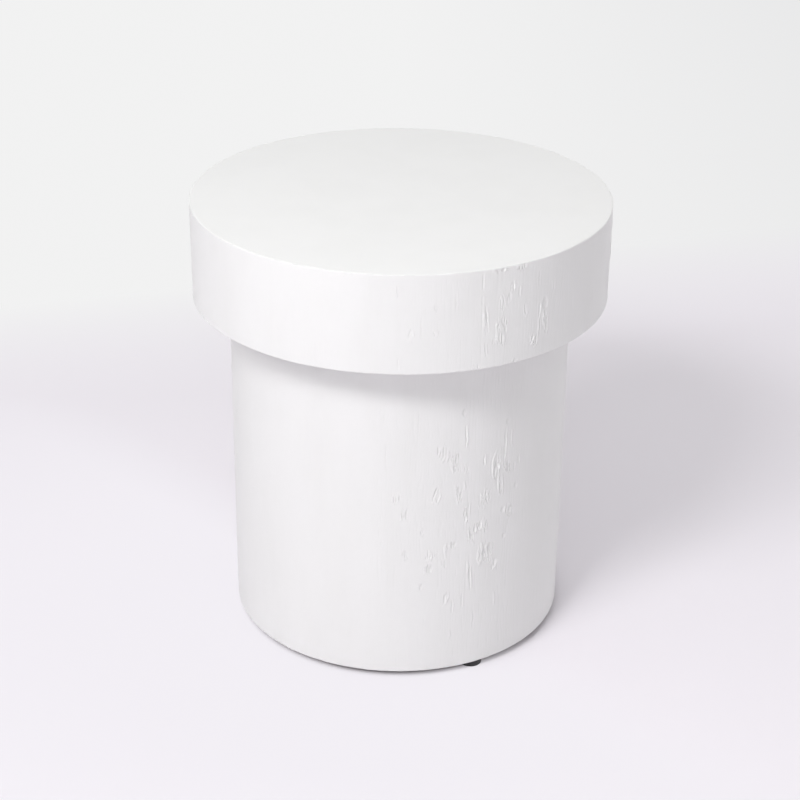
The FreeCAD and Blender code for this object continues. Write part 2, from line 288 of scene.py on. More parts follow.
def makeMetal(name, look):
    finish, tree, shader = startFinish(name, look["gloss"])
    shader.inputs["Metallic"].default_value = 1.0
    patches = cloud(tree, objectPlace(tree), look["patchSize"], 3.0, 0.6)
    plating = ramp(tree, patches, look["patchStops"], look["dull"], look["bright"])
    tree.links.new(plating, shader.inputs["Base Color"])
    lines = cloud(tree, objectPlace(tree, look["lineFlow"]), look["lineWidth"])
    roughen(tree, shader, look, patches, lines)
    raiseSurface(tree, shader, lines, look["lineDepth"])
    return finish


# black moulded plastic of the feet, scuffed in places

blackPadLook = {
    "face": (0.022, 0.022, 0.024), "scuffAndShade": (0.075, 0.073, 0.070), "scuffStops": (0.55, 0.8),
    "wearSize": 4.0, "roughness": (0.42, 0.62), "gloss": 0.45, "textureSize": 0.5, "textureDepth": 0.03,
}


def makeBlackPad(look):
    finish, tree, shader = startFinish("black_pad", look["gloss"])
    even = objectPlace(tree)
    wear = cloud(tree, even, look["wearSize"], 5.0, 0.65)
    worn = ramp(tree, wear, look["scuffStops"], look["face"], look["scuffAndShade"])
    tree.links.new(worn, shader.inputs["Base Color"])
    roughen(tree, shader, look, wear)
    raiseSurface(tree, shader, cloud(tree, even, look["textureSize"], 1.0), look["textureDepth"])
    return finish


paintedGrain = makePaintedGrain(paintedGrainLook)
smoothPaint = makeSmoothPaint(smoothPaintLook)
birchPly = makePly("birch_ply", birchPlyLook, plyGrain)
sealedPly = makePly("sealed_ply", sealedPlyLook, plyGrain)
uprightPine = makeSoftwood("upright_pine", softwoodLook, (1.0, 1.0, 0.06))  # along each batten's length
longPine = makeSoftwood("long_pine", softwoodLook, (0.06, 1.0, 1.0))
overPine = makeSoftwood("over_pine", softwoodLook, (1.0, 0.06, 1.0))
zincSteel = makeMetal("zinc_steel", zincLook)
brassInsert = makeMetal("brass_insert", brassLook)
blackPad = makeBlackPad(blackPadLook)
print("finishes made:", len(bpy.data.materials))


# relief of the sheets: waves in the board, grain, then cracks, torn patches, pits and dents

noiseGrid = (1024, 64)  # columns and rows before the noise repeats


def smooth(share):
    return share * share * (3.0 - 2.0 * share)


def bell(offset, width, power=2):
    return np.exp(-(offset / width) ** power)


def grainNoise(across, up, width, length, seed):
    # smooth values from -1 to 1, stretched along the grain, each column shifted by its own amount
    columns, rows = noiseGrid
    dice = np.random.default_rng(seed)
    values = dice.uniform(-1.0, 1.0, noiseGrid)
    shift = dice.uniform(0.0, rows, columns)
    column = np.floor(across / width).astype(int)
    share = smooth(across / width - column)
    total = np.zeros(np.broadcast(across, up).shape)
    for step, weight in ((0, 1.0 - share), (1, share)):
        c = (column + step) % columns
        place = up / length + shift[c]
        row = np.floor(place).astype(int)
        f = smooth(place - row)
        total += weight * (values[c, row % rows] * (1.0 - f) + values[c, (row + 1) % rows] * f)
    return total


def layeredNoise(across, up, layers, seed):
    total = np.zeros_like(up)
    for number, (width, length, height) in enumerate(layers):
        total += height * grainNoise(across, up, width, length, seed + number)
    return total


def window(across, up, left, right, low, high):
    return (slice(*np.searchsorted(up, (low, high))), slice(*np.searchsorted(across, (left, right))))


crackForm = {
    "reach": 5.0, "wander": (9.0, 7.0, 0.6), "seed": 17,  # width, length and sway of its line
    "full": 0.8, "uneven": 0.35, "groove": 0.5, "splinter": 0.9, "widen": 0.25, "cut": 1.35,
    "lipAside": 1.4, "lipWidth": 0.8, "lipHeight": 0.7,
}


def carveCrack(relief, across, up, middle, top, length, lean, bow, depth, lipSide):
    # a groove down the grain, its middle moved aside by bow, with a lip along one side
    form = crackForm
    reach = abs(lean) + abs(bow) + form["reach"]
    cut = window(across, up, middle - reach, middle + reach, top - length, top)
    level = up[cut[0]][:, None]
    t = (top - level) / length
    arch = 4.0 * t * (1.0 - t)  # from 0 at both ends to 1 halfway
    wanderWidth, wanderLength, sway = form["wander"]
    wander = grainNoise(0.0 * level + middle, level, wanderWidth, wanderLength, form["seed"])
    line = middle + lean * t + bow * arch + sway * wander
    gap = across[cut[1]][None, :] - line
    taper = np.sqrt(np.clip(arch, 0.0, 1.0)) * (form["full"] + form["uneven"] * wander)
    wide = form["groove"] if depth > 0.0 else form["splinter"]
    groove = bell(gap, wide + form["widen"] * taper)
    lip = bell(gap - form["lipAside"] * lipSide, form["lipWidth"])
    relief[cut] += depth * taper * (form["lipHeight"] * lip - form["cut"] * groove)


tearForm = {
    "aside": 1.2, "above": 1.1, "middle": 0.45, "fall": 0.75, "brink": 0.7, "cut": 1.5,
    "even": 0.65, "tilt": 0.35, "flapAt": 0.25, "flapWidth": 0.3, "flapShare": (0.45, 0.6, 0.3),
}


def tearPatch(relief, across, up, ragged, middle, height, wide, tall, lean, depth, flapSide):
    # a bite out of the skin: splintered hollows, deeper on one side, and a flap standing up on the other
    form = tearForm
    aside, above = form["aside"] * wide + abs(lean), form["above"] * tall
    cut = window(across, up, middle - aside, middle + aside, height - above, height + above)
    b = (up[cut[0]][:, None] - height) / (0.5 * tall)
    a = (across[cut[1]][None, :] - middle - lean * b) / (0.5 * wide)
    field = form["middle"] - form["fall"] * (a * a + b * b) + ragged[cut]
    slope = form["even"] - form["tilt"] * flapSide * np.clip(a, -1.0, 1.0)
    hollow = np.clip(field / form["brink"], 0.0, 1.0) * slope
    least, sideways, downward = form["flapShare"]
    lift = np.clip(least + sideways * flapSide * a - downward * b, 0.0, 1.0)
    flap = bell(field + form["flapAt"], form["flapWidth"]) * lift
    relief[cut] += depth * (flap - form["cut"] * hollow)


pitForm = {"reach": 1.2, "pitPower": 2.0, "dentPower": 1.0}  # a dent's sides are less steep


def carvePit(relief, across, up, middle, height, wide, tall, depth, power):
    aside, above = pitForm["reach"] * wide, pitForm["reach"] * tall
    cut = window(across, up, middle - aside, middle + aside, height - above, height + above)
    a = (across[cut[1]][None, :] - middle) / (0.5 * wide)
    b = (up[cut[0]][:, None] - height) / (0.5 * tall)
    relief[cut] -= depth * np.exp(-(a * a + b * b) ** power)


# what both bands of sheets share. Waves, ragged and sway: width, length, height.

sheetAngle = 120.0
tornGrain = {
    "waves": ((26.0, 120.0, 0.13), (6.5, 70.0, 0.055), (2.0, 34.0, 0.022)),
    "ragged": ((2.6, 12.0, 0.55), (1.2, 8.0, 1.1)), "sway": (30.0, 90.0, 1.6),
    "poreSize": (1.5, 16.0), "poreFloor": 0.42, "poreDepth": 0.12,
    "handPlaced": (-72.0, 58.0), "fineBearings": (-7.0, 48.0),
    "limits": (-1.2, 0.9), "hollowShadeDepth": 1.6, "hollowShadeMost": 0.45,
}
# added to a sheet's own seed for each kind of noise
seedFor = {
    "waves": 0, "pores": 5, "seam": 6, "marks": 7, "sway": 9, "ragged": 30, "wear": 60, "scuffAndShade": 63,
}

# the two bands of sheets. Cracks: bearing from the front, top, length, lean, bow, depth, where a
# depth below zero is a splinter that stands up.
# Patches: bearing, height, wide, tall, lean, depth. Pits and dents: bearing, height, wide, tall, depth.
# Open places in the seam: height, length, share of the seam's depth.

rim = {
    "band": "rim", "seam": 21.0, "thickness": 1.5, "ease": 0.6, "easeRows": 5, "edgeWear": 0.16,
    "columns": 640, "fineCell": 0.5, "upCell": 1.0, "density": 0.34, "strength": 1.25, "seed": 100,
    "cracks": (
        (37.6, 478, 16, 0.5, 0, 0.45), (38.1, 443, 18, -0.6, 0.4, 0.5), (41.0, 426, 18, -2, 0, 0.5),
        (43.0, 463, 10, 0, 0, 0.4), (29.5, 474, 11, 0.4, 0, 0.35), (31.4, 467, 11, 0, 0, 0.3),
        (33.4, 447, 10, 0, 0, 0.25), (26.2, 463, 16, 4, 1, 0.25), (-0.7, 480, 13, 0.3, 0, 0.3),
        (-0.2, 403, 13, 0, 0, 0.3), (22.0, 452, 28, 3, 0, 0.4), (22.0, 413, 15, 1.5, 0, 0.4),
        (14.0, 470, 20, 0.5, 0, 0.15), (5.5, 446, 24, -0.5, 0, 0.15), (21.6, 453, 32, 0.3, 0, -0.3),
        (38.1, 438, 32, -0.4, 0, -0.3), (36.7, 409, 9, -3.5, 0, -0.45), (22.4, 412, 12, 1, 0, -0.25),
    ),
    "patches": (
        (26.8, 423, 13, 24, 1, 0.6), (24.3, 414, 5, 10, 1, 0.15), (27.4, 455, 12, 16, 2, 0.25),
        (29.5, 470, 5, 11, 1, 0.3), (40.2, 431, 4, 10, 0, 0.35), (40.8, 418, 6, 18, -2, 0.45),
        (36.8, 406, 8, 12, -2, 0.45), (2.7, 428, 5, 11, 0.5, 0.35), (9.2, 430, 6, 8, 0, 0.25),
        (9.0, 455, 6, 8, 0, 0.2), (33.4, 441, 6, 12, 0, 0.2), (22.0, 440, 5, 15, 1, 0.35),
        (31.2, 388, 7, 5, 0, 0.35), (20.4, 389, 9, 5, 1, 0.3), (32.0, 488, 9, 5, 0, 0.55),
        (26.4, 488, 10, 4, 0, 0.5), (24.6, 489, 6, 3, 0, 0.4),
    ),
    "pits": (
        (25.0, 487, 3, 3, 0.35), (-14.0, 489, 6, 3, 0.4), (-12.0, 489.5, 3, 2, 0.3),
        (40.0, 441, 6.5, 13, 0.6),
    ),
    "dents": ((44.0, 440, 18, 26, 0.3), (17.0, 446, 16, 22, 0.2)),
    "seamShare": 1.0, "seamOpen": ((479, 14, 0.8), (459, 9, 0.7), (438, 30, 0.4), (403, 18, 0.3)),
}

base = {
    "band": "base", "seam": 23.5, "thickness": 1.5, "ease": 0.9, "easeRows": 4, "edgeWear": 0.12,
    "columns": 320, "fineCell": 0.6, "upCell": 1.3, "density": 1.0, "strength": 1.8, "seed": 200,
    "cracks": (
        (22.1, 303, 26, 0, 0.3, 0.75), (29.2, 264, 12, -1, 0, 0.45), (37.4, 290, 42, -1.5, 0, 0.6),
        (39.8, 284, 20, 1, 0, -0.36), (43.5, 250, 10, 0, 0, 0.4), (41.6, 244, 11, 0, 0, 0.35),
        (33.8, 266, 35, -2.6, -3.2, -0.4), (33.9, 262, 27, 2.3, 0, 0.4), (36.5, 235, 26, 1.6, 0, -0.42),
        (34.6, 232, 15, 0.6, 0, -0.36), (22.2, 238, 11, 0.3, 0, -0.36), (23.8, 211, 18, 0, 0, 0.5),
        (40.3, 196, 16, 2.2, 0, -0.42), (30.2, 183, 13, 0, 0, 0.45), (24.7, 132, 30, 1.6, 0, 0.55),
        (16.8, 100, 9, 0, 0, -0.36), (18.7, 95, 17, 0, 0, 0.35), (22.2, 100, 17, 0.4, 0, 0.4),
        (34.8, 91, 17, 0.6, 0, -0.36), (18.6, 57, 13, 0, 0, 0.25), (9.0, 76, 18, 0, 0, 0.15),
        (6.5, 330, 30, -0.5, 0, 0.15), (-4.0, 290, 34, 0.6, 0, 0.15), (26.5, 74, 22, 0.4, 0, 0.2),
        (18.2, 266, 7, -2.3, 0, -0.4), (30.8, 218, 8, -4.5, 0, -0.4), (22.6, 201, 9, 1.5, 0, -0.4),
        (33.4, 135, 14, 2, 0, -0.44), (35.1, 134, 15, 2, 0, 0.5), (31.2, 154, 6, -6, 0, -0.4),
        (23.9, 139, 17, 1.2, 0, -0.36), (15.5, 163, 16, 2.6, 0, -0.32), (12.7, 234, 14, -4.5, 0, 0.55),
    ),
    "patches": (
        (21.3, 318, 5, 8, 0, 0.35), (14.3, 274, 9, 15, -1, 0.5), (18.7, 264, 8, 17, 2, 0.5),
        (23.3, 253, 15, 9, 0, 0.25), (19.5, 253, 5, 6, 0, 0.3), (34.2, 249, 5, 26, 2, 0.4),
        (38.2, 242, 9, 12, -2, 0.5), (35.6, 224, 4, 18, 0, 0.4), (12.3, 226, 9, 17, 1.5, 0.35),
        (20.4, 222, 10, 18, -1, 0.4), (30.6, 214, 13, 18, 3, 0.45), (-0.3, 223, 8, 9, 1, 0.4),
        (2.4, 204, 9, 13, 2, 0.4), (23.4, 199, 8, 16, 0, 0.55), (27.6, 180, 17, 12, 2, 0.5),
        (24.4, 171, 9, 18, -1, 0.4), (40.0, 188, 9, 14, 0, 0.45), (8.0, 182, 5, 9, 0.5, 0.35),
        (17.4, 162, 14, 10, 5, 0.4), (31.4, 146, 20, 20, 2, 0.6), (34.5, 128, 6, 12, 1, 0.3),
        (2.9, 156, 8, 10, 0, 0.4), (10.1, 154, 9, 12, 0, 0.4), (10.5, 137, 8, 9, 0, 0.4),
        (15.8, 142, 6, 9, 0, 0.25), (7.9, 116, 5, 9, 1, 0.4), (16.5, 98, 7, 13, 0, 0.3),
    ),
    "pits": (
        (38.0, 296, 4.5, 6, 0.45), (37.0, 191, 4, 5, 0.4), (38.0, 158, 4, 5, 0.4),
        (42.6, 215, 5, 6, 0.35),
    ),
    "dents": ((38.6, 168, 22, 26, 0.35), (30.9, 257, 16, 20, 0.25), (4.5, 239, 14, 18, 0.2)),
    "seamShare": 0.3, "seamOpen": ((309, 20, 0.5), (212, 26, 0.8), (182, 18, 0.6), (122, 36, 0.8)),
}

scattered = {
    "inset": 2.0, "aboveFoot": 14.0, "belowHead": 6.0, "depth": (0.2, 0.55),
    "crowdSize": (60.0, 75.0), "crowdFrom": (-0.45, 0.55),
    # how many, share of the depth, then the middle and swing of each measure
    "kinds": {
        "cracks": (88, 1.0, (22.0, 14.0), (0.0, 1.5), (0.0, 0.8)),
        "patches": (114, 1.0, (8.5, 4.5), (13.0, 6.0), (0.0, 2.0)),
        "pits": (22, 0.8, (4.0, 1.0), (6.0, 2.0)),
        "dents": (26, 0.7, (18.0, 6.0), (24.0, 8.0)),
    },
}


def scatter(band, sheet, start, width, foot, head, dice):
    # marks on the sides where none are listed, in loose patches
    marks = {}
    low, high = tornGrain["handPlaced"]
    for kind, (count, depthShare, *measures) in scattered["kinds"].items():
        marks[kind] = []
        for _ in range(round(count * band["density"])):
            across = dice.uniform(scattered["inset"], width - scattered["inset"])
            height = dice.uniform(foot + scattered["aboveFoot"], head - scattered["belowHead"])
            bearing = start + math.degrees(across / band["radius"])
            depth = dice.uniform(*scattered["depth"])
            spot = np.array(across), np.array(height)
            crowd = float(grainNoise(*spot, *scattered["crowdSize"], band["seed"] + sheet))
            swings = dice.uniform(-1.0, 1.0, 4)
            if low < bearing < high or crowd < dice.uniform(*scattered["crowdFrom"]):
                continue
            sizes = [middle + most * swing for (middle, most), swing in zip(measures, swings)]
            marks[kind].append((across, height, *sizes, depthShare * depth))
    return marks


seamForm = {
    "depth": 0.34, "always": 0.06, "uneven": (40.0, 30.0, 0.10), "startWidth": 0.7, "endWidth": 0.9,
    "lipAside": 1.7, "lipWidth": 0.9, "lipHeight": 0.2,
}


def carveSeam(torn, band, across, up, seed):
    # the sheet's two upright edges, butted against the next sheets and painted over
    form = seamForm
    width, length, uneven = form["uneven"]
    opened = form["always"] + uneven * grainNoise(up, up, width, length, seed + seedFor["seam"])
    for height, span, share in band["seamOpen"]:
        opened = opened + share * bell(up - height, 0.5 * span, 4)
    fromStart = bell(across, form["startWidth"])
    fromEnd = bell(across[-1] - across, form["endWidth"])
    lip = form["lipHeight"] * bell(across - form["lipAside"], form["lipWidth"])
    torn += band["seamShare"] * form["depth"] * opened[:, None] * (lip - fromStart - fromEnd)[None, :]


def sheetRelief(band, sheet, across, up, start, foot, head):
    width = across[-1]
    seed = band["seed"] + 10 * sheet
    level = up[:, None] + 0.0 * across[None, :]
    sway = layeredNoise(across[None, :], level, (tornGrain["sway"],), seed + seedFor["sway"])
    lane = across[None, :] + sway
    relief = layeredNoise(lane, level, tornGrain["waves"], seed + seedFor["waves"])
    ragged = layeredNoise(lane, level, tornGrain["ragged"], seed + seedFor["ragged"])
    pores = grainNoise(lane, level, *tornGrain["poreSize"], seed + seedFor["pores"])
    torn = -tornGrain["poreDepth"] * np.clip(pores - tornGrain["poreFloor"], 0.0, 1.0)
    dice = np.random.default_rng(seed + seedFor["marks"])
    marks = scatter(band, sheet, start, width, foot, head, dice)
    for kind in marks:
        for mark in band[kind]:
            place = math.radians(mark[0] - start) * band["radius"]
            if 0.0 < place < width:
                marks[kind].append((place, *mark[1:]))
    # every third crack has its lip, and every fourth patch its flap, on the other side
    for number, crack in enumerate(marks["cracks"]):
        carveCrack(torn, across, up, *crack, 1.0 if number % 3 else -1.0)
    for number, patch in enumerate(marks["patches"]):
        tearPatch(torn, across, up, ragged, *patch, 1.0 if number % 4 == 1 else -1.0)
    for pit in marks["pits"]:
        carvePit(torn, across, up, *pit, pitForm["pitPower"])
    for dent in marks["dents"]:
        carvePit(relief, across, up, *dent, pitForm["dentPower"])
    carveSeam(torn, band, across, up, seed)
    torn *= band["strength"]
    # painted shade: the deeper a torn hollow, the more of the darker paint it gets, up to a limit
    hollowShade = np.clip(-torn / tornGrain["hollowShadeDepth"], 0.0, tornGrain["hollowShadeMost"])
    return np.clip(relief + torn, *tornGrain["limits"]), hollowShade


def placeColumns(band, start):
    # close together where marks are listed, wider apart on the rest of the sheet
    width = math.radians(sheetAngle) * band["radius"]
    fine = [math.radians(bearing - start) * band["radius"] for bearing in tornGrain["fineBearings"]]
    edges = [0.0, *(min(max(place, 0.0), width) for place in fine), width]
    fineCount = round((edges[2] - edges[1]) / band["fineCell"])
    spare = (band["columns"] - fineCount) / (width - edges[2] + edges[1])
    counts = (round(edges[1] * spare), fineCount, round((width - edges[2]) * spare))
    runs = [np.linspace(a, b, n, endpoint=False) for a, b, n in zip(edges, edges[1:], counts)]
    return np.concatenate([*runs, [width]])


edgeForm = {
    "wearSize": (5.0, 900.0), "edgeShadeSize": (16.0, 900.0), "edgeShadeLeast": 0.6, "edgeShadeMore": 1.2,
    "sharpAngle": 62.0,
}


def sheetSection(band, sheet, across, up, foot, head, relief, hollowShade):
    # lines across the sheet: inner corner, flat, round, face, round, flat, inner corner. Each has its
    # distance from the axis and height, the way the relief moves it, its relief and its painted shade.
    radius, ease = band["radius"], band["ease"]
    inner, shoulder = radius - band["thickness"], radius - ease
    turn = np.radians(90.0) * np.arange(1, band["easeRows"]) / band["easeRows"]
    seed = band["seed"] + sheet
    wear = grainNoise(across, across, *edgeForm["wearSize"], seed + seedFor["wear"])
    wear = band["edgeWear"] * (1.0 + wear)
    # painted shade: in patches along the upper rounding, where the edge catches the lamps, the paint
    # darkens and breaks up the highlight
    scuffAndShade = grainNoise(across, across, *edgeForm["edgeShadeSize"], seed + seedFor["scuffAndShade"])
    scuffAndShade = edgeForm["edgeShadeLeast"] + edgeForm["edgeShadeMore"] * scuffAndShade
    flat = np.zeros_like(across)
    section = [(inner, foot, 0.0, -1.0, flat, flat), (shoulder, foot, 0.0, -1.0, flat, flat)]
    for angle in turn:
        c, s = math.cos(angle), math.sin(angle)
        shift = s * relief[0] - wear * math.sin(2.0 * angle)
        section.append((shoulder + ease * s, foot + ease - ease * c, s, -c, shift, s * hollowShade[0]))
    for height, shift, shadeShare in zip(up, relief, hollowShade):
        section.append((radius, height, 1.0, 0.0, shift, shadeShare))
    for angle in turn:
        c, s = math.cos(angle), math.sin(angle)
        shift = c * relief[-1] - wear * math.sin(2.0 * angle)
        shadeShare = np.clip(math.sin(2.0 * angle) * scuffAndShade, c * hollowShade[-1], 1.0)  # painted shade in patches, breaking up the edge's highlight
        section.append((shoulder + ease * c, head - ease + ease * s, c, s, shift, shadeShare))
    section += [(shoulder, head, 0.0, 1.0, flat, flat), (inner, head, 0.0, 1.0, flat, flat)]
    away = np.array([r + outward * shift for r, z, outward, upward, shift, shadeShare in section])
    height = np.array([z + upward * shift for r, z, outward, upward, shift, shadeShare in section])
    return away, height, np.array([line[-1] for line in section])


flatMap = {
    "margin": 0.005, "faceWidth": 0.935, "length": 0.99,
    "back": (0.95, 0.965), "ends": (0.97, 0.985), "endWidth": 0.01,
}


def mapSheet(mesh, band, across, away, height, outer):
    # one flat map: the face fills it, with the back and the ends in narrow strips beside it
    lines, columns = away.shape
    margin, length = flatMap["margin"], flatMap["length"]
    reach = np.concatenate([[0.0], np.cumsum(np.hypot(np.diff(away[:, 0]), np.diff(height[:, 0])))])
    rise = margin + length * reach / reach[-1]
    u = np.tile(margin + flatMap["faceWidth"] * across / across[-1], lines)
    v = np.repeat(rise, columns)
    corners = [np.stack([u[outer], v[outer]], 2).reshape(-1, 2)]
    along = margin + length * across / across[-1]
    left, right = flatMap["back"]
    backU = np.tile([left, right, right, left], columns - 1)
    backV = np.stack([along[:-1], along[:-1], along[1:], along[1:]], 1).ravel()
    corners.append(np.stack([backU, backV], 1))
    depth = (away[:, 0] - band["radius"] + band["thickness"]) / band["thickness"]
    start, end = (np.stack([edge + flatMap["endWidth"] * depth, rise], 1) for edge in flatMap["ends"])
    corners += [start, end[::-1]]
    layer = mesh.uv_layers.new(name="OFBake")
    layer.data.foreach_set("uv", np.concatenate(corners).astype(np.float32).ravel())


def makePiece(mesh, finish, sharpAngle):
    mesh.polygons.foreach_set("use_smooth", np.ones(len(mesh.polygons), dtype=bool))
    mesh.set_sharp_from_angle(angle=math.radians(sharpAngle))
    mesh.materials.append(finish)
    mesh.validate()
    piece = bpy.data.objects.new(mesh.name, mesh)
    bpy.context.scene.collection.objects.link(piece)
    return piece


def makeSheet(band, side, sheet):
    node = f"{band['band']}_veneer_{side}"
    low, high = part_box(node)
    foot, head = low.z / mm, high.z / mm
    start = band["seam"] + sheetAngle * sheet - (360.0 if side == "front" else 0.0)
    across = placeColumns(band, start)
    rows = round((head - foot - 2.0 * band["ease"]) / band["upCell"])
    up = np.linspace(foot + band["ease"], head - band["ease"], rows + 1)
    relief, hollowShade = sheetRelief(band, sheet, across, up, start, foot, head)
    away, height, shadeShares = sheetSection(band, sheet, across, up, foot, head, relief, hollowShade)

    bearing = np.radians(start) + across / band["radius"]
    points = np.stack([away * np.sin(bearing), -away * np.cos(bearing), height], 2).reshape(-1, 3) * mm
    index = np.arange(away.size).reshape(away.shape)
    outer = np.stack([index[:-1, :-1], index[:-1, 1:], index[1:, 1:], index[1:, :-1]], 2).reshape(-1, 4)
    back = np.stack([index[0, :-1], index[-1, :-1], index[-1, 1:], index[0, 1:]], 1)
    faces = outer.tolist() + back.tolist() + [index[:, 0].tolist(), index[::-1, -1].tolist()]
    mesh = bpy.data.meshes.new(f"{band['band']}_sheet_{side}")
    mesh.from_pydata(points.tolist(), [], faces)
    mapSheet(mesh, band, across, away, height, outer)
    # each point's share of painted shade, read by the painted grain finish
    mark = mesh.attributes.new("hollowShade", "FLOAT", "POINT")
    mark.data.foreach_set("value", shadeShares.astype(np.float32).ravel())

    piece = makePiece(mesh, paintedGrain, edgeForm["sharpAngle"])
    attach(piece, "table")
    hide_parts(node)
    return piece


rim["radius"] = cadHigh.x / mm
base["radius"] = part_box("base_veneer_front")[0].y / -mm
for band in (rim, base):
    for sheet, side in enumerate(("right", "back", "front")):
        piece = makeSheet(band, side, sheet)
        print(piece.name, "made,", len(piece.data.polygons), "faces")


# the table's upper face, painted and flat but for what the roller and the board leave

topFace = {
    "gap": 0.05, "rings": 58, "segments": 288, "crowding": 0.85,  # rings closer together at the edge
    "sway": 0.02, "swaySize": 70.0, "swayFrom": 500.0, "seed": 31, "levelEdge": 12.0, "sharpAngle": 40.0,
}


def makeTopFace(top):
    low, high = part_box("top_panel")
    radius = rim["radius"] - rim["thickness"] - top["gap"]
    foot, head = low.z / mm, high.z / mm
    angle = np.linspace(0.0, 2.0 * math.pi, top["segments"], endpoint=False)
    rings = radius * np.linspace(0.0, 1.0, top["rings"] + 1)[1:] ** top["crowding"]
    points = [(0.0, 0.0, head)]
    for ring in rings:
        x, y = ring * np.sin(angle), -ring * np.cos(angle)
        calm = min(1.0, (radius - ring) / top["levelEdge"])  # level where it meets the sheets
        size, corner = top["swaySize"], top["swayFrom"]
        sway = top["sway"] * calm * grainNoise(x + corner, y + corner, size, size, top["seed"])
        points += list(zip(x, y, head + sway))
    points += list(zip(radius * np.sin(angle), -radius * np.cos(angle), np.full(len(angle), foot)))
    points.append((0.0, 0.0, foot))
    count, last = top["segments"], len(points) - 1
    lowest = 1 + top["rings"] * count
    faces = []
    for i in range(count):
        j = (i + 1) % count
        faces.append((0, 1 + i, 1 + j))
        for near in range(1, lowest, count):
            far = near + count
            faces.append((near + i, far + i, far + j, near + j))
        faces.append((lowest + i, last, lowest + j))
    mesh = bpy.data.meshes.new("top_face")
    mesh.from_pydata((np.array(points) * mm).tolist(), [], faces)
    piece = makePiece(mesh, smoothPaint, top["sharpAngle"])
    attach(piece, "table")
    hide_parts("top_panel")
    return piece


print(makeTopFace(topFace).name, "made")


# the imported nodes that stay, each in its finish

nodeFinishes = {
    smoothPaint: ("lower_panel",),
    birchPly: ("rim_hoop", "base_shell", "base_top_plate"),
    sealedPly: ("base_bottom_plate",),
    uprightPine: ("base_batten_1", "base_batten_2", "base_batten_3"),
    longPine: ("cross_batten_long",),
    overPine: ("cross_batten_over",),
    zincSteel: (
        "top_plate_screws", "bottom_plate_screws", "joining_bolts", "joining_washers",
        "foot_stud_1", "foot_stud_2", "foot_stud_3",
    ),
    brassInsert: ("joining_inserts", "foot_inserts"),
    blackPad: ("foot_pad_1", "foot_pad_2", "foot_pad_3"),
}
for finish, names in nodeFinishes.items():
    for name in names:
        for place in nodes[name].material_slots:
            place.material = finish
print("packed nodes dressed:", sum(len(names) for names in nodeFinishes.values()))


# a pale floor that runs back to a pale wall tone, lit by a soft box, three panels and a room that is
# brighter overhead. Seen directly, the floor carries painted light round the table and a wall tone with
# painted shade to the right. Sizes and distances are in metres.

studio = {
    "floorSize": 14.0, "floor": (0.890, 0.856, 0.903), "floorGloss": 0.2, "floorRoughness": 0.8,
    # painted light on the floor round the table, seen directly only
    "paintedLight": (0.890, 0.864, 0.910), "paintedLightShare": 0.95, "paintedLightAside": (-0.10, 0.05),
    "paintedLightFrom": (0.174, 0.185), "paintedLightTo": (0.35, 0.95),
    # painted shade: the wall tone is darker to the right, away from the lamps
    "wallLeft": (0.885, 0.885, 0.885), "wallShadedRight": (0.81, 0.81, 0.815), "wallShadeSpan": (0.0, 1.1),
    "horizon": (0.60, 1.0), "slant": 0.3, "farEdge": (1.6, 3.2),
    "roomLight": 0.2, "ceilingLight": 0.83, "ceilingFall": 2.0,
    # bearing, elevation, distance, size, power
    "lamps": {
        "soft_box": (-25.0, 47.0, 2.0, 0.45, 12.6),
        "far_panel": (-45.0, 40.0, 6.0, 1.35, 59.0),
        "front_panel": (0.0, 30.0, 6.0, 2.5, 22.5),
        "back_panel": (125.0, 12.0, 3.0, 1.0, 10.5),
    },
}


def seenShare(tree):
    # 1 where the floor or the wall is looked at, 0 where it only passes light on
    path = tree.nodes.new("ShaderNodeLightPath")
    seen = calculate(tree, "ADD", path.outputs["Is Camera Ray"], path.outputs["Is Glossy Ray"])
    return calculate(tree, "ADD", seen, path.outputs["Is Transmission Ray"])


def blendShaders(tree, share, first, second, output):
    blend = tree.nodes.new("ShaderNodeMixShader")
    for socket, source in zip(blend.inputs, (share, first, second)):
        tree.links.new(source, socket)
    tree.links.new(blend.outputs["Shader"], tree.nodes[output].inputs["Surface"])


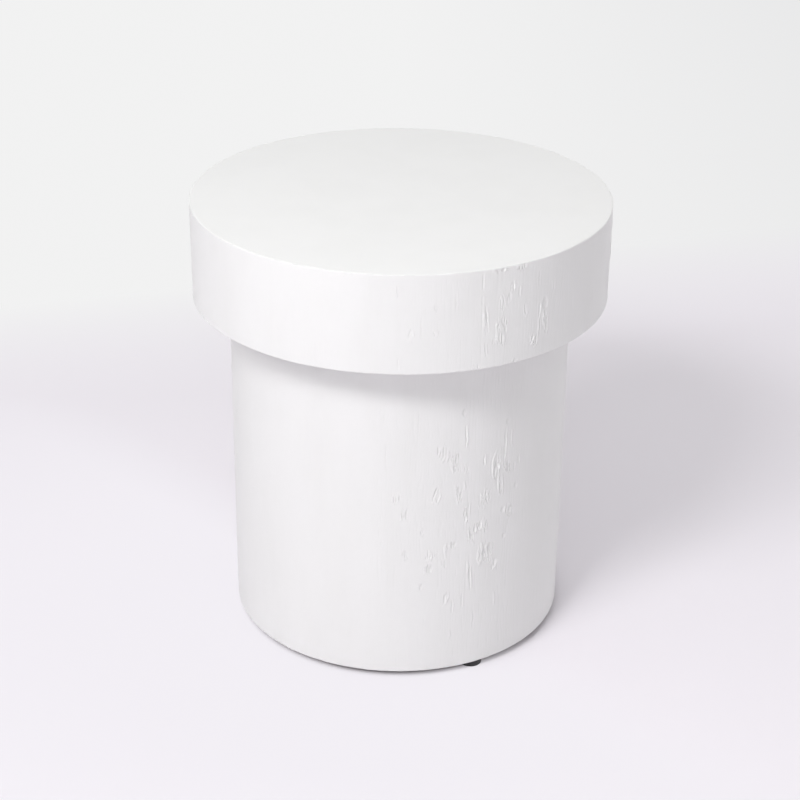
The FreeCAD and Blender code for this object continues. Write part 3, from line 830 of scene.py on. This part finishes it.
def makeFloor(look):
    half = look["floorSize"]
    mesh = bpy.data.meshes.new("floor")
    corners = [(-half, -half, 0), (half, -half, 0), (half, half, 0), (-half, half, 0)]
    mesh.from_pydata(corners, [], [(0, 1, 2, 3)])
    finish, tree, shader = startFinish("floor_paper", look["floorGloss"])
    shader.inputs["Base Color"].default_value = (*look["floor"], 1.0)
    shader.inputs["Roughness"].default_value = look["floorRoughness"]
    even = objectPlace(tree)
    place = axes(tree, even)
    x, y = place["X"], place["Y"]
    away = tree.nodes.new("ShaderNodeVectorMath")
    away.operation = "LENGTH"
    tree.links.new(even, away.inputs[0])
    away = away.outputs["Value"]
    # the painted wall tone begins farther back on the shadow's side and nearer on the left, where it
    # lifts the far floor as its light falls off
    behind = calculate(tree, "SUBTRACT", y, calculate(tree, "MULTIPLY", x, look["slant"]))
    behind = spread(tree, behind, 0.0, 1.0, *look["horizon"])
    beyond = calculate(tree, "MAXIMUM", behind, spread(tree, away, 0.0, 1.0, *look["farEdge"]))
    # painted light round the table on the lamps' side: seen directly, the floor there shows its lit
    # tone, so the shadow there is only a thin line
    fromLamps = calculate(tree, "ADD", x, y)
    paintedLight = spread(tree, fromLamps, look["paintedLightShare"], 0.0, *look["paintedLightAside"])
    outside = spread(tree, away, 0.0, 1.0, *look["paintedLightFrom"])
    near = spread(tree, away, 1.0, 0.0, *look["paintedLightTo"])
    paintedLight = calculate(tree, "MULTIPLY", paintedLight, calculate(tree, "MULTIPLY", outside, near))
    share = calculate(tree, "MAXIMUM", beyond, paintedLight)
    share = calculate(tree, "MULTIPLY", share, seenShare(tree))
    # painted shade: the wall tone darkens from left to right, as the lamps stand on the left
    aside = spread(tree, x, 0.0, 1.0, *look["wallShadeSpan"])
    tone = ramp(tree, aside, (0.0, 1.0), look["wallLeft"], look["wallShadedRight"])
    wall = tree.nodes.new("ShaderNodeEmission")
    tree.links.new(mixColours(tree, beyond, look["paintedLight"], tone), wall.inputs["Color"])
    blendShaders(tree, share, shader.outputs["BSDF"], wall.outputs["Emission"], "Material Output")
    mesh.materials.append(finish)
    floor = bpy.data.objects.new("floor", mesh)
    bpy.context.scene.collection.objects.link(floor)


def makeRoom(look):
    world = bpy.data.worlds.new("room")
    world.use_nodes = True
    tree = world.node_tree
    light = tree.nodes["Background"]
    light.inputs["Color"].default_value = (1.0, 1.0, 1.0, 1.0)
    coords = tree.nodes.new("ShaderNodeTexCoord")
    upward = calculate(tree, "MAXIMUM", axes(tree, coords.outputs["Generated"])["Z"], 0.0)
    upward = calculate(tree, "POWER", upward, look["ceilingFall"])
    ceiling = calculate(tree, "MULTIPLY", upward, look["ceilingLight"])
    tree.links.new(calculate(tree, "ADD", ceiling, look["roomLight"]), light.inputs["Strength"])
    wall = tree.nodes.new("ShaderNodeBackground")
    wall.inputs["Color"].default_value = (*look["wallLeft"], 1.0)
    lit, seen = light.outputs["Background"], wall.outputs["Background"]
    blendShaders(tree, seenShare(tree), lit, seen, "World Output")
    bpy.context.scene.world = world


def makeLamp(name, bearing, elevation, distance, size, power):
    bearing, rise = math.radians(bearing), math.radians(elevation)
    level = math.cos(rise)
    way = Vector((math.sin(bearing) * level, -math.cos(bearing) * level, math.sin(rise)))
    lamp = bpy.data.lights.new(name, "AREA")
    lamp.shape = "DISK"
    lamp.size = size
    lamp.energy = power
    holder = bpy.data.objects.new(name, lamp)
    holder.location = Vector((0.0, 0.0, 0.5 * cadHigh.z)) + distance * way
    holder.rotation_mode = "QUATERNION"
    holder.rotation_quaternion = way.to_track_quat("Z", "Y")
    holder.visible_camera = False
    bpy.context.scene.collection.objects.link(holder)


makeFloor(studio)
makeRoom(studio)
for name, setting in studio["lamps"].items():
    makeLamp(name, *setting)
print("studio lit")


photoCamera = {
    "place": (0.0, -1.912, 1.1888), "tilt": 63.77, "turn": -0.04, "roll": 0.67,
    "lens": 85.48, "sensor": 36.0, "clip": (0.05, 60.0),
}

view = bpy.data.cameras.new("photo_camera")
view.lens = photoCamera["lens"]
view.sensor_width = photoCamera["sensor"]
view.clip_start, view.clip_end = photoCamera["clip"]
camera = bpy.data.objects.new("photo_camera", view)
turned = Matrix.Rotation(math.radians(photoCamera["turn"]), 4, "Z")
tilted = Matrix.Rotation(math.radians(photoCamera["tilt"]), 4, "X")
rolled = Matrix.Rotation(math.radians(photoCamera["roll"]), 4, "Z")
camera.matrix_world = Matrix.Translation(photoCamera["place"]) @ turned @ tilted @ rolled
bpy.context.scene.collection.objects.link(camera)
bpy.context.scene.camera = camera
bpy.context.scene.view_settings.view_transform = "Standard"
print("camera set")
